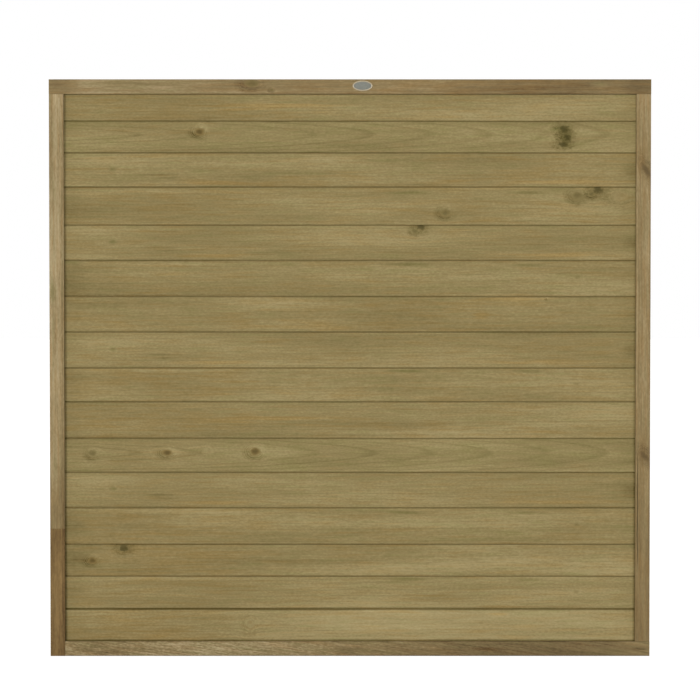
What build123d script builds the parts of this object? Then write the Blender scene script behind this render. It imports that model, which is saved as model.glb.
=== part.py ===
from build123d import *

import os

# Horizontal tongue and groove fence panel: a grooved timber frame that holds a stack of interlocking boards.
# Sizes are in millimetres. +Z is up, +X runs along the boards, and the face side looks towards -Y.
# The origin is the middle of the bottom rail's underside.

# Frame stock: planed square-edged timber with eased arrises
PANEL_WIDTH = 1830.0
PANEL_HEIGHT = 1758.0
RAIL_FACE = 45.0
STILE_FACE = 45.0
FRAME_DEPTH = 34.0
ARRIS_RADIUS = 2.0

# Boards: the heights that they take up between their joints, from the top of the panel down.
# On a taller or shorter panel each board is made wider or ripped narrower by the same amount.
BOARD_COVERS = [82, 96, 104, 116, 107, 110, 108, 110, 103, 112, 104, 108, 112, 98, 101, 97]
BOARD_THICKNESS = 12.0
FACE_BEVEL = 2.0

# Tongue and groove: the tongue's tip stands on the groove's floor and keeps the shoulders apart
TONGUE_THICKNESS = 4.0
TONGUE_LENGTH = 7.0
TONGUE_CLEARANCE = 0.15
SHOULDER_GAP = 1.0

# Groove round the inside of the frame, which holds the edges of the boards
FRAME_GROOVE_DEPTH = 12.0
FRAME_GROOVE_CLEARANCE = 0.3
END_EXPANSION_GAP = 2.0
TOP_EXPANSION_GAP = 2.0

# Stub tenons at the corners: the member that stops there has one, which fills the groove of the one that runs by
TENON_CLEARANCE = 0.2
TENON_TIP_GAP = 0.5

# Nails: one at each corner, through the member that runs by and down the middle of the other one's tenon
NAIL_LENGTH = 90.0
NAIL_SHANK_DIAMETER = 4.0
NAIL_HEAD_DIAMETER = 8.5
NAIL_HEAD_THICKNESS = 1.6
NAIL_POINT_LENGTH = 6.0
NAIL_CLEARANCE = 0.1

# Plain oval plate on the top rail
PLATE_LENGTH = 61.0
PLATE_HEIGHT = 31.5
PLATE_THICKNESS = 1.6
PLATE_RIM_WIDTH = 4.4
PLATE_FIELD_DEPTH = 0.7
PLATE_EDGE_BEVEL = 0.5
PLATE_OFFSET_X = 38.0
PLATE_RISE = 2.5

# Sizes that follow from the ones above
OPENING_HEIGHT = PANEL_HEIGHT - 2 * RAIL_FACE
OPENING_WIDTH = PANEL_WIDTH - 2 * STILE_FACE
COVER_CHANGE = (OPENING_HEIGHT - sum(BOARD_COVERS)) / len(BOARD_COVERS)
FRAME_GROOVE_WIDTH = BOARD_THICKNESS + 2 * FRAME_GROOVE_CLEARANCE
BOARD_LENGTH = OPENING_WIDTH + 2 * (FRAME_GROOVE_DEPTH - END_EXPANSION_GAP)
BOARD_GROOVE_WIDTH = TONGUE_THICKNESS + 2 * TONGUE_CLEARANCE
BOARD_GROOVE_DEPTH = TONGUE_LENGTH - SHOULDER_GAP
TENON_THICKNESS = FRAME_GROOVE_WIDTH - 2 * TENON_CLEARANCE
TENON_LENGTH = FRAME_GROOVE_DEPTH - TENON_TIP_GAP
STILE_TENON_WIDTH = STILE_FACE - FRAME_GROOVE_DEPTH
RAIL_TENON_WIDTH = RAIL_FACE - FRAME_GROOVE_DEPTH


def frame_section(face):
    """Section of a frame member: outer edge on local Y = 0, groove in the inner edge at Y = face."""
    stock = Pos(0, face / 2) * RectangleRounded(FRAME_DEPTH, face, ARRIS_RADIUS)
    groove = Pos(0, face) * Rectangle(FRAME_GROOVE_WIDTH, 2 * FRAME_GROOVE_DEPTH)
    return stock - groove


def nail_solid(clearance=0.0):
    """One nail with its head's top at Z = 0 and its point down, or its hole when there is a clearance."""
    head = NAIL_HEAD_DIAMETER / 2 + clearance
    shank = NAIL_SHANK_DIAMETER / 2 + clearance
    seat = -NAIL_HEAD_THICKNESS - clearance
    tip = -NAIL_LENGTH - clearance
    outline = Polyline(
        (0, 0),
        (head, 0),
        (head, seat),
        (shank, seat),
        (shank, tip + NAIL_POINT_LENGTH),
        (0, tip),
        close=True,
    )
    return revolve(Plane.XZ * make_face(outline), axis=Axis.Z)


def at_corners(solid):
    """Copies of a nail or its hole at the four corners, with the heads flush in the frame's outer edges.

    The rails run by the stiles at three corners. At the lower left the stile runs by the bottom rail.
    """
    nail_x = (PANEL_WIDTH - STILE_TENON_WIDTH) / 2
    return [
        Pos(-nail_x, 0, PANEL_HEIGHT) * solid,
        Pos(nail_x, 0, PANEL_HEIGHT) * solid,
        Pos(nail_x, 0, 0) * Rot(180, 0, 0) * solid,
        Pos(-PANEL_WIDTH / 2, 0, RAIL_TENON_WIDTH / 2) * Rot(0, -90, 0) * solid,
    ]


def member(start, face, length, tenon_at_start=False, tenon_at_end=False):
    """A rail or stile that runs from the plane start along its normal, with its groove on the plane's +Y side."""
    body = extrude(start * frame_section(face), amount=length)
    tenon_width = face - FRAME_GROOVE_DEPTH
    tenon = Pos(0, tenon_width / 2) * Rectangle(TENON_THICKNESS, tenon_width)
    if tenon_at_start:
        body += extrude(start * tenon, amount=-TENON_LENGTH)
    if tenon_at_end:
        body += extrude(start.offset(length) * tenon, amount=TENON_LENGTH)
    return body


def top_rail():
    """Rail across the whole width, over both stiles."""
    start = Plane(origin=(-PANEL_WIDTH / 2, 0, PANEL_HEIGHT), x_dir=(0, -1, 0), z_dir=(1, 0, 0))
    return member(start, RAIL_FACE, PANEL_WIDTH)


def bottom_rail():
    """Rail from the left stile, which it is tenoned into, to the right edge, under the right stile."""
    start = Plane(origin=(STILE_FACE - PANEL_WIDTH / 2, 0, 0), x_dir=(0, 1, 0), z_dir=(1, 0, 0))
    return member(start, RAIL_FACE, PANEL_WIDTH - STILE_FACE, tenon_at_start=True)


def left_stile():
    """Stile from the panel's foot up to the top rail, which it is tenoned into."""
    start = Plane(origin=(-PANEL_WIDTH / 2, 0, 0), x_dir=(0, -1, 0), z_dir=(0, 0, 1))
    return member(start, STILE_FACE, PANEL_HEIGHT - RAIL_FACE, tenon_at_end=True)


def right_stile():
    """Stile between the rails, tenoned into both."""
    start = Plane(origin=(PANEL_WIDTH / 2, 0, RAIL_FACE), x_dir=(0, 1, 0), z_dir=(0, 0, 1))
    return member(start, STILE_FACE, OPENING_HEIGHT, tenon_at_start=True, tenon_at_end=True)


def board_section(body_height, tongue_above, groove_below):
    """Section of a board with its face on local -X and its lower edge on Y = 0.

    A bevel breaks the face at each edge that meets another board.
    """
    section = Rectangle(BOARD_THICKNESS, body_height, align=(Align.CENTER, Align.MIN))
    lower_corner, upper_corner = section.vertices().group_by(Axis.X)[0].sort_by(Axis.Y)
    jointed_corners = []
    if groove_below:
        jointed_corners.append(lower_corner)
    if tongue_above:
        jointed_corners.append(upper_corner)
    section = chamfer(jointed_corners, FACE_BEVEL)
    if tongue_above:
        tongue = Rectangle(TONGUE_THICKNESS, TONGUE_LENGTH, align=(Align.CENTER, Align.MIN))
        section += Pos(0, body_height) * tongue
    if groove_below:
        section -= Rectangle(BOARD_GROOVE_WIDTH, 2 * BOARD_GROOVE_DEPTH)
    return section


def boards():
    """All boards, from the top down, each with its tongue up in the groove of the one above."""
    made = []
    upper_joint = PANEL_HEIGHT - RAIL_FACE
    for index, cover in enumerate(BOARD_COVERS):
        is_top = index == 0
        is_bottom = index == len(BOARD_COVERS) - 1
        lower_joint = upper_joint - cover - COVER_CHANGE
        if is_top:
            top_edge = upper_joint + FRAME_GROOVE_DEPTH - TOP_EXPANSION_GAP
        else:
            top_edge = upper_joint - SHOULDER_GAP / 2
        if is_bottom:
            bottom_edge = lower_joint - FRAME_GROOVE_DEPTH
        else:
            bottom_edge = lower_joint + SHOULDER_GAP / 2
        along = Plane(origin=(-BOARD_LENGTH / 2, 0, bottom_edge), x_dir=(0, 1, 0), z_dir=(1, 0, 0))
        section = board_section(top_edge - bottom_edge, not is_top, not is_bottom)
        made.append(extrude(along * section, amount=BOARD_LENGTH))
        upper_joint = lower_joint
    return made


def oval_plate():
    """Pressed oval plate with a raised rim and a bare field, flat against the top rail's face."""
    on_face = Plane(
        origin=(PLATE_OFFSET_X, -FRAME_DEPTH / 2, PANEL_HEIGHT - RAIL_FACE / 2 + PLATE_RISE),
        x_dir=(1, 0, 0),
        z_dir=(0, -1, 0),
    )
    blank = extrude(Ellipse(PLATE_LENGTH / 2, PLATE_HEIGHT / 2), amount=PLATE_THICKNESS)
    blank = chamfer(blank.edges().group_by(Axis.Z)[-1], PLATE_EDGE_BEVEL)
    field = Ellipse(PLATE_LENGTH / 2 - PLATE_RIM_WIDTH, PLATE_HEIGHT / 2 - PLATE_RIM_WIDTH)
    recess = extrude(Pos(0, 0, PLATE_THICKNESS - PLATE_FIELD_DEPTH) * field, amount=PLATE_FIELD_DEPTH)
    return on_face * (blank - recess)


def build():
    """Every piece of the panel by name."""
    nail_holes = at_corners(nail_solid(NAIL_CLEARANCE))
    pieces = {
        "top_rail": top_rail() - nail_holes,
        "bottom_rail": bottom_rail() - nail_holes,
        "left_stile": left_stile() - nail_holes,
        "right_stile": right_stile() - nail_holes,
        "corner_nails": Compound(children=at_corners(nail_solid())),
        "oval_plate": oval_plate(),
    }
    for number, board in enumerate(boards(), start=1):
        pieces[f"board_{number:02d}"] = board
    return pieces


def main():
    """Writes each piece to its own STEP file."""
    os.makedirs("parts", exist_ok=True)
    for name, piece in build().items():
        export_step(piece, f"parts/{name}.step")


main()
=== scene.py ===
"""Looks of a tongue and groove fence panel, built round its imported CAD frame.

Objects are in metres in the CAD's own frame: +X runs along the boards, +Z is up, and the face side
looks towards -Y. Grain, knots and joints are given in millimetres, as a joiner would give them.
"""

import logging
import math
import zlib
from collections.abc import Mapping, Sequence
from dataclasses import dataclass, field, replace
from enum import Enum, IntEnum
from typing import Any

import bmesh
import bpy
import numpy as np
from mathutils import Matrix, Vector


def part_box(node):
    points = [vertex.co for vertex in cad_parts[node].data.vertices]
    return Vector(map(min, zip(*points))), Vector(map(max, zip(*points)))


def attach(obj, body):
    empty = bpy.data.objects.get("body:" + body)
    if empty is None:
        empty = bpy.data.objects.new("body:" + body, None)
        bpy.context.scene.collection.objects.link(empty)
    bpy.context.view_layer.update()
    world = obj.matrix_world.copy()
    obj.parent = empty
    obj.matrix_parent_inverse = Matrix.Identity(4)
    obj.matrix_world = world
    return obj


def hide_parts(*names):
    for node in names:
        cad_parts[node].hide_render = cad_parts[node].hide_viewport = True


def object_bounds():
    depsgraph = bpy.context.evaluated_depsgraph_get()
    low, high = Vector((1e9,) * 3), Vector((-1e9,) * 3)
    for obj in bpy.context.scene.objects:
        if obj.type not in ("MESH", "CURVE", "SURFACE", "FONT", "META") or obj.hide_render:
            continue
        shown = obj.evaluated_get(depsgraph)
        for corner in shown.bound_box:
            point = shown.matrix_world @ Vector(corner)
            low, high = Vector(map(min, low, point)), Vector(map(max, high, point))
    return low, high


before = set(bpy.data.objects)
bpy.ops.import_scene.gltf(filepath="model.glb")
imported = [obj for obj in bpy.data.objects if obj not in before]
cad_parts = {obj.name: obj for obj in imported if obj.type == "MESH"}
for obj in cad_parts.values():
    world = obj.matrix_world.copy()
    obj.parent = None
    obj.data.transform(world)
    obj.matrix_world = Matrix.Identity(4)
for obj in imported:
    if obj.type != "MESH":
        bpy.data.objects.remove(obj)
cad_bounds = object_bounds()

Output = bpy.types.NodeSocket
MM = 0.001
BODY = "root"
BLACK = "#000000"
WHITE = "#ffffff"

# Vertices closer together than this, in metres, are merged
MERGE_DISTANCE = 1e-6

# Random patterns: the range of seeds, what scales them down, and how many clouds apart two seeds lie
SEED_RANGE = 9973
SEED_SPREAD = 97
SEED_STEPS = (1.37, 0.71, 2.13)

# Mean of a cloudy pattern, and where the middle colour lies between the deepest and the palest
CLOUD_MEAN = 0.5
MID_TONE = 0.5

# Sizes in millimetres of a mark that goes right through a piece or runs past both of its ends
THROUGH = 1000.0
END_TO_END = 4000.0

log = logging.getLogger("fence_panel")


def linear(colour: str) -> tuple[float, float, float, float]:
    """Turns an sRGB hex colour to linear light by the sRGB curve: straight near black, then a power.

    Args:
        colour: The colour as "#rrggbb".

    Returns:
        Red, green, blue and an alpha of one.
    """
    srgb = np.array([int(colour[place:place + 2], 16) for place in (1, 3, 5)]) / 255
    light = np.where(srgb <= 0.04045, srgb / 12.92, ((srgb + 0.055) / 1.055) ** 2.4)
    return (*light.tolist(), 1.0)


def add(
    tree: bpy.types.NodeTree,
    kind: str,
    inputs: Mapping[str | int, Any] | None = None,
    stops: Sequence[tuple[float, str]] = (),
    **settings: Any,
) -> Output:
    """Adds one shader node with its settings and links.

    Args:
        tree: The material's or world's node tree.
        kind: The node's type, without "ShaderNode" in front.
        inputs: For each input's name or number, the output to link to it or its constant.
        stops: Places and hex colours of a colour ramp.
        settings: Properties of the node itself.

    Returns:
        The node's first output in use, or its first input where it has no output.
    """
    node = tree.nodes.new("ShaderNode" + kind)
    for name, value in settings.items():
        setattr(node, name, value)
    for name, value in (inputs or {}).items():
        if isinstance(value, Output):
            tree.links.new(value, node.inputs[name])
        else:
            node.inputs[name].default_value = value
    for number, (place, colour) in enumerate(stops):
        ramp = node.color_ramp.elements
        stop = ramp[number] if number < 2 else ramp.new(place)
        stop.position = place
        stop.color = linear(colour)
    used = [socket for socket in node.outputs if socket.enabled]
    return used[0] if used else node.inputs[0]


def blank_tree(owner: bpy.types.Material | bpy.types.World) -> bpy.types.NodeTree:
    """Turns on the nodes of a material or world and clears them."""
    owner.use_nodes = True
    owner.node_tree.nodes.clear()
    return owner.node_tree


def seed_of(name: str) -> int:
    """A whole number that stays the same for a piece's name."""
    return zlib.crc32(name.encode()) % SEED_RANGE


def wander(along: np.ndarray, step: float, seed: int) -> np.ndarray:
    """Smooth random line: a random value every step, joined by half waves of a cosine.

    Args:
        along: Places along the piece.
        step: Distance between the random values, in the same unit.
        seed: Which random line.

    Returns:
        A value from 0 to 1 for each place.
    """
    place = (along - along.min()) / step
    whole = np.floor(place).astype(int)
    values = np.random.default_rng(seed).random(whole.max() + 2)
    ease = 0.5 - 0.5 * np.cos(np.pi * (place - whole))
    return values[whole] * (1 - ease) + values[whole + 1] * ease


def place_mesh(
    name: str, points: np.ndarray, faces: list[list[int]], smooth_deg: float,
) -> bpy.types.Object:
    """Puts computed points and faces into a closed mesh object that rides on the panel.

    Args:
        name: The piece's name.
        points: Places of the vertices in metres, one row each.
        faces: Vertex numbers of each face.
        smooth_deg: Edges that turn by more than this stay sharp.

    Returns:
        The new object, at the origin.
    """
    mesh = bpy.data.meshes.new(name)
    mesh.from_pydata(points.tolist(), [], faces)
    work = bmesh.new()
    work.from_mesh(mesh)
    bmesh.ops.remove_doubles(work, verts=work.verts, dist=MERGE_DISTANCE)
    bmesh.ops.recalc_face_normals(work, faces=work.faces)
    work.to_mesh(mesh)
    work.free()
    mesh.shade_smooth()
    mesh.set_sharp_from_angle(angle=math.radians(smooth_deg))
    piece = bpy.data.objects.new(name, mesh)
    bpy.context.scene.collection.objects.link(piece)
    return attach(piece, BODY)


def tube_faces(rows: int, columns: int, first: int = 0) -> list[list[int]]:
    """Faces of a closed profile carried along a path, with one face over each end.

    Point j of row i joins point j + 1 and the same two points of row i + 1, and a row's last point
    joins its first.

    Args:
        rows: Number of stations along the path.
        columns: Number of points in the profile.
        first: Number of the first vertex.

    Returns:
        Vertex numbers of each face.
    """
    number = first + np.arange(rows * columns).reshape(rows, columns)
    beside = np.roll(number, -1, axis=1)
    quads = np.stack([number[:-1], beside[:-1], beside[1:], number[1:]], axis=-1).reshape(-1, 4)
    return quads.tolist() + [number[0, ::-1].tolist(), number[-1].tolist()]


@dataclass
class Section:
    """A closed section that may change along a piece: straight runs and arcs, set end to end.

    Each coordinate is one number or an array with a value for each station. The first runs through the
    panel's depth and the second across the piece.
    """

    stations: int
    parts: list[np.ndarray] = field(default_factory=list)

    def corner(self, point: tuple[Any, Any]) -> np.ndarray:
        """A point as an array of stations by two coordinates."""
        return np.stack([np.broadcast_to(value, self.stations) for value in point], axis=-1)

    def line(
        self, start: tuple[Any, Any], end: tuple[Any, Any], count: int = 1, bulge: Any = 0.0,
    ) -> None:
        """Adds points from start towards end, whose own point the next run adds.

        A point at share s of the run is start + s (end - start), moved through the depth by
        4 s (1 - s) times the bulge.

        Args:
            start: First point of the run.
            end: Point that the run leads to.
            count: Number of points.
            bulge: How far the middle of the run moves through the depth.
        """
        share = np.linspace(0, 1, count, endpoint=False)[None, :, None]
        run = self.corner(start)[:, None] * (1 - share) + self.corner(end)[:, None] * share
        swell = (4 * share * (1 - share))[..., 0]
        run[..., 0] += swell * np.broadcast_to(bulge, self.stations)[:, None]
        self.parts.append(run)

    def runs(self, *corners: tuple[Any, ...]) -> None:
        """Adds straight runs from corner to corner. The next run or arc adds the last corner's own point.

        Args:
            corners: Both coordinates of each corner, and the number of points towards the next where
                there is more than one.
        """
        for corner, following in zip(corners, corners[1:]):
            self.line(corner[:2], following[:2], *corner[2:])

    def arc(
        self, centre: tuple[Any, Any], radius: Any, start_deg: float, end_deg: float, count: int,
    ) -> None:
        """Adds a round arris: centre + radius (cosine, sine) of an angle that goes from start to end.

        Args:
            centre: Middle of the arc.
            radius: Its radius.
            start_deg: Angle of its first point.
            end_deg: Angle that it leads to.
            count: Number of points.
        """
        angle = np.radians(np.linspace(start_deg, end_deg, count, endpoint=False))
        turn = np.stack([np.cos(angle), np.sin(angle)], axis=-1)
        size = np.broadcast_to(radius, self.stations)[:, None, None]
        self.parts.append(self.corner(centre)[:, None] + size * turn)

    def points(self) -> np.ndarray:
        """The whole section: stations by points by two coordinates."""
        return np.concatenate(self.parts, axis=1)


class GrainAxis(Enum):
    """Which way the grain runs: the turn about Y that brings it to the pattern's first axis."""

    ALONG_X = 0.0
    ALONG_Z = math.pi / 2


class LogCut(Enum):
    """How a piece was sawn.

    The pith's depth behind the face and place across it in millimetres, how far the pith sinks per
    millimetre along, and how clearly the rings show.
    """

    FLAT_SAWN = (46.0, 5.0, 0.045, 0.8)
    RIFT_SAWN = (60.0, 95.0, 0.012, 0.45)
    QUARTER_SAWN = (10.0, 150.0, 0.006, 0.8)


@dataclass(frozen=True)
class Eye:
    """Looks of a knot.

    The colours of its core and rim, how far they cover the wood, how dark the grain round it is stained,
    how much that pales towards one side, how clearly the rings round it show, and how ragged it is.
    """

    core: str
    rim: str
    cover: float
    stain: float
    swirl: float
    rings: float
    ragged: float


class KnotKind(Enum):
    """What is left of a branch: live or dead wood, a faint trace, a lengthways cut, or loops of grain."""

    SOUND = Eye("#584822", "#7e6838", 0.88, 0.06, 0.15, 0.14, 0.20)
    DEAD = Eye("#433b17", "#5d5227", 0.86, 0.17, 0.04, 0.10, 0.52)
    FAINT = Eye("#62562e", "#776a3f", 0.70, 0.11, 0.13, 0.07, 0.30)
    SPIKE = Eye("#58472a", "#705b38", 0.84, 0.15, 0.05, 0.14, 0.30)
    BLIND = Eye("#85744a", "#85744a", 0.10, 0.02, 0.05, 0.06, 0.34)


@dataclass(frozen=True)
class Knot:
    """The root of a branch, an eye that the grain flows round. Millimetres from the piece's middle."""

    along: float
    across: float
    radius: float
    kind: KnotKind = KnotKind.SOUND
    stretch: float = 1.3
    slant_deg: float = 0.0


@dataclass(frozen=True)
class Streak:
    """A soft band of paler, deeper, warmer or greener wood, or of painted shade or highlight.

    Millimetres from the piece's middle.
    """

    along: float
    across: float
    length: float
    height: float
    lift: float
    warmth: float = 0.0


@dataclass(frozen=True)
class Splice:
    """A glued joint in the length, past which the wood comes from another log."""

    along: float
    lift: float
    warmth: float


@dataclass(frozen=True)
class TimberLook:
    """What sets one piece of timber apart from the next."""

    cut: LogCut
    tone: float = 0.0
    lean: float = 0.0
    warmth: float = 0.0
    knots: tuple[Knot, ...] = ()
    streaks: tuple[Streak, ...] = ()
    splice: Splice | None = None
    figure: tuple[float, float] = (1.0, 1.0)
    slope_deg: float = 0.0


@dataclass(frozen=True)
class GrainLayer:
    """A cloudy layer of the grain: its size along and across in millimetres and its depth of tone."""

    length: float
    height: float
    depth: float

    @property
    def cloud(self) -> tuple[float, float, float]:
        """Size of one cloud along the grain, through the depth and across."""
        return (self.length, self.height, self.height)


class GrainSeed(IntEnum):
    """Which random pattern each part of the grain takes. STREAKS and FLECKS are the first of two."""

    SWAY = 0
    STREAKS = 1
    FLECKS = 3
    FIBRE = 5
    RAGGED = 6
    PATCH = 7
    HUE = 8
    TINGE = 9


@dataclass(frozen=True)
class KnotGrowth:
    """How wood grows round a knot.

    The reach is in radii of the knot, and other distances are shares of the reach. The grain is pushed
    aside, softly near the heart. The core's colour turns to the rim's over the heart, and the knot ends over
    its fade. The collar is the start, peak and end of the stain round it, which pales towards one side and
    has its rings on the other.
    """

    reach: float = 3.0
    push: float = 0.43
    softness: float = 0.08
    heart: tuple[float, float] = (0.1, 0.38)
    fade: tuple[float, float] = (0.2, 0.5)
    collar: tuple[float, float, float] = (0.28, 0.5, 1.0)
    pale_side: tuple[float, float, float] = (0.6, 0.0, 0.8)
    ring_side: float = 0.6
    ring_turns: float = 40.0


@dataclass(frozen=True)
class TimberFinish:
    """Planed softwood under a water-borne preservative.

    The planer leaves a matt, slightly fibrous face. The preservative turns the pale early wood an olive tan
    and the dense late wood a deeper brown, and it soaks in unevenly, which gives soft streaks and flecks
    along the grain and patches that lean to green or to orange. Shade is painted into the colour behind the
    face, in joints, on arrises and down the sides, which stay darker. Real fibres are too fine to show at
    this distance, so they are drawn about 1.5 mm thick. Sizes are in millimetres.
    """

    title: str
    pale: str
    middle: str
    deep: str
    green: str
    warm: str
    ring_spacing: float
    ring_depth: float
    sway: float
    streaks: tuple[GrainLayer, GrainLayer]
    flecks: tuple[GrainLayer, GrainLayer]
    patch: GrainLayer
    hue: GrainLayer
    fibre: GrainLayer
    # Painted shade: how much darker the colour is made behind the face, in joints, on arrises and down the
    # sides
    painted_edge_shade: float

    # Where in a ring late wood starts and is densest, and the mean of its pattern
    late_wood: tuple[float, float] = (0.62, 0.88)
    late_mean: float = 0.15

    # Clouds of the slow sway, of the flecks that fray the knots and of the lean to green or orange
    sway_cloud: tuple[float, float, float] = (240.0, 50.0, 60.0)
    ragged: GrainLayer = GrainLayer(10, 7, 0.3)
    tinge: GrainLayer = GrainLayer(110, 7, 1.3)
    warmth_start: float = -0.32
    cloud_detail: float = 1.5

    # How wood grows round knots, how far off the grain starts again past a splice, and where a streak has
    # faded out, in its own sizes
    growth: KnotGrowth = KnotGrowth()
    splice_jump: float = 3000.0
    streak_fade: float = 1.3

    # Depths behind the face at which the painted shade starts and is darkest
    skin: tuple[float, float] = (0.3, 1.5)

    roughness: float = 0.8
    roughness_spread: float = 0.12
    gleam: float = 0.2
    relief: float = 0.2
    relief_strength: float = 0.3

    def dress(self, piece: bpy.types.Object, look: TimberLook, axis: GrainAxis) -> None:
        """Gives a piece this timber, cut and marked in its own way.

        Args:
            piece: The piece, whose mesh is final.
            look: Its cut, tone, knots and streaks.
            axis: The way its grain runs.
        """
        corners = np.array(piece.bound_box)
        span = np.ptp(corners, axis=0)
        turn = Matrix.Rotation(axis.value, 3, "Y")
        middle = turn @ Vector((corners.min(0) + corners.max(0)) / 2 / MM)
        material = bpy.data.materials.new(f"{self.title}_{piece.name}")
        nodes = TimberNodes(
            self, look, blank_tree(material),
            seed=seed_of(piece.name) / SEED_SPREAD,
            half_length=abs((turn @ Vector(span))[0]) / MM / 2,
            half_depth=span[1] / MM / 2,
        )
        add(nodes.tree, "OutputMaterial", {"Surface": nodes.surface(middle, axis)})
        piece.data.materials.append(material)


# A knot's looks, the distance from its heart and the way to its paler side
KnotOutputs = tuple[Eye, Output, Output]


@dataclass
class TimberNodes:
    """The nodes of one piece of timber, from its finish and its own look.

    Places are in millimetres from the piece's middle: along the grain, through the depth and across. Depth
    of colour runs from 0, the deepest, to 1, the palest, and warmth from 0, green, to 1, orange.
    """

    finish: TimberFinish
    look: TimberLook
    tree: bpy.types.NodeTree
    seed: float
    half_length: float
    half_depth: float

    def pattern(self, place: Output, size: tuple[float, float, float], number: int) -> Output:
        """Cloudy pattern from 0 to 1.

        Args:
            place: Place in the timber.
            size: Size of one cloud along the grain, through the depth and across.
            number: Which of the piece's patterns.

        Returns:
            The pattern's output.
        """
        spread = add(self.tree, "Mapping", {
            "Vector": place,
            "Location": tuple((self.seed + number) * step for step in SEED_STEPS),
            "Scale": tuple(1 / length for length in size),
        })
        return add(self.tree, "TexNoise", {
            "Vector": spread, "Scale": 1.0, "Detail": self.finish.cloud_detail,
        })

    def rings(self, flow: Output) -> Output:
        """Late wood of the year rings, from 0 in early wood to 1 in the densest line.

        The rings are cylinders round the pith: their number is the distance to it over their spacing. The
        pith sinks along the piece, so flat-sawn rings close in pointed arches. Late wood rises over the
        last part of a ring and ends at once, and each ring has its own depth.

        Args:
            flow: Place in the grain.

        Returns:
            The late wood's output.
        """
        tree = self.tree
        pith_depth, pith_across, sink, _ = self.look.cut.value
        start, densest = self.finish.late_wood
        parts = add(tree, "SeparateXYZ", {0: flow}).node.outputs
        level = add(tree, "Math", {0: parts["X"], 1: sink, 2: pith_depth}, operation="MULTIPLY_ADD")
        behind = add(tree, "Math", {0: level, 1: parts["Y"]}, operation="SUBTRACT")
        beside = add(tree, "Math", {0: parts["Z"], 1: pith_across}, operation="SUBTRACT")
        spoke = add(tree, "CombineXYZ", {0: beside, 1: behind})
        reach = add(tree, "VectorMath", {0: spoke}, operation="LENGTH")
        count = add(tree, "Math", {0: reach, 1: self.finish.ring_spacing}, operation="DIVIDE")
        share = add(tree, "Math", {0: count}, operation="FRACT")
        rise = add(tree, "MapRange", {
            "Value": share, "From Min": start, "From Max": densest, "To Min": 0.0, "To Max": 1.0,
        }, interpolation_type="SMOOTHSTEP")
        fall = add(tree, "MapRange", {
            "Value": share, "From Min": densest, "From Max": 1.0, "To Min": 1.0, "To Max": 0.0,
        }, interpolation_type="SMOOTHSTEP")
        late = add(tree, "Math", {0: rise, 1: fall}, operation="MULTIPLY")
        year = add(tree, "Math", {0: count}, operation="FLOOR")
        depth = add(tree, "TexWhiteNoise", {"W": year}, noise_dimensions="1D")
        return add(tree, "Math", {0: late, 1: depth}, operation="MULTIPLY")

    def wood(self, middle: Vector, axis: GrainAxis) -> Output:
        """Place in the timber, with the slow sway that grain has.

        Args:
            middle: The piece's middle in millimetres, turned so that its grain runs along the first axis.
            axis: The way its grain runs.

        Returns:
            The place's output.
        """
        tree = self.tree
        swing = self.finish.sway
        straight = add(tree, "Mapping", {
            "Vector": add(tree, "TexCoord").node.outputs["Object"],
            "Location": -middle,
            "Rotation": (0, axis.value, 0),
            "Scale": (1 / MM, 1 / MM, 1 / MM),
        })
        cloud = self.pattern(straight, self.finish.sway_cloud, GrainSeed.SWAY)
        sway = add(tree, "Math", {0: cloud, 1: swing, 2: -swing / 2}, operation="MULTIPLY_ADD")
        swing_across = add(tree, "CombineXYZ", {2: sway})
        return add(tree, "VectorMath", {0: straight, 1: swing_across}, operation="ADD")

    def part_at_knots(
        self, wood: Output, flow: Output, ragged: Output,
    ) -> tuple[Output, list[KnotOutputs]]:
        """Parts the grain round each knot as water parts round a post.

        At height h and distance d from the heart, as shares of the reach, the grain moves aside by h times
        the push over the sum of d squared and the softness.

        Args:
            wood: Place in the timber.
            flow: Place in the grain.
            ragged: Pattern that frays the knots' outlines.

        Returns:
            The place in the parted grain. For each knot its looks, the frayed distance from its heart and
            how far a place lies towards its paler side.
        """
        tree = self.tree
        growth = self.finish.growth
        knots = []
        for knot in self.look.knots:
            eye = knot.kind.value
            reach = growth.reach * knot.radius
            near = add(tree, "Mapping", {
                "Vector": wood,
                "Location": (knot.along, 0.0, knot.across),
                "Rotation": (0, math.radians(knot.slant_deg), 0),
                "Scale": (reach * knot.stretch, THROUGH, reach),
            }, vector_type="TEXTURE")
            away = add(tree, "VectorMath", {0: near}, operation="LENGTH")
            square = add(tree, "Math", {0: away, 1: away, 2: growth.softness}, operation="MULTIPLY_ADD")
            push = add(tree, "Math", {0: knot.radius * growth.push, 1: square}, operation="DIVIDE")
            height = add(tree, "SeparateXYZ", {0: near}).node.outputs["Z"]
            bend = add(tree, "Math", {0: height, 1: push}, operation="MULTIPLY")
            aside = add(tree, "CombineXYZ", {2: bend})
            flow = add(tree, "VectorMath", {0: flow, 1: aside}, operation="SUBTRACT")
            slope = add(tree, "VectorMath", {0: near, 1: growth.pale_side}, operation="DOT_PRODUCT")
            frayed = add(tree, "Math", {0: ragged, 1: eye.ragged, 2: away}, operation="MULTIPLY_ADD")
            frayed = add(tree, "Math", {0: frayed, 1: eye.ragged / 2}, operation="SUBTRACT")
            knots.append((eye, frayed, slope))
        return flow, knots

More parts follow.
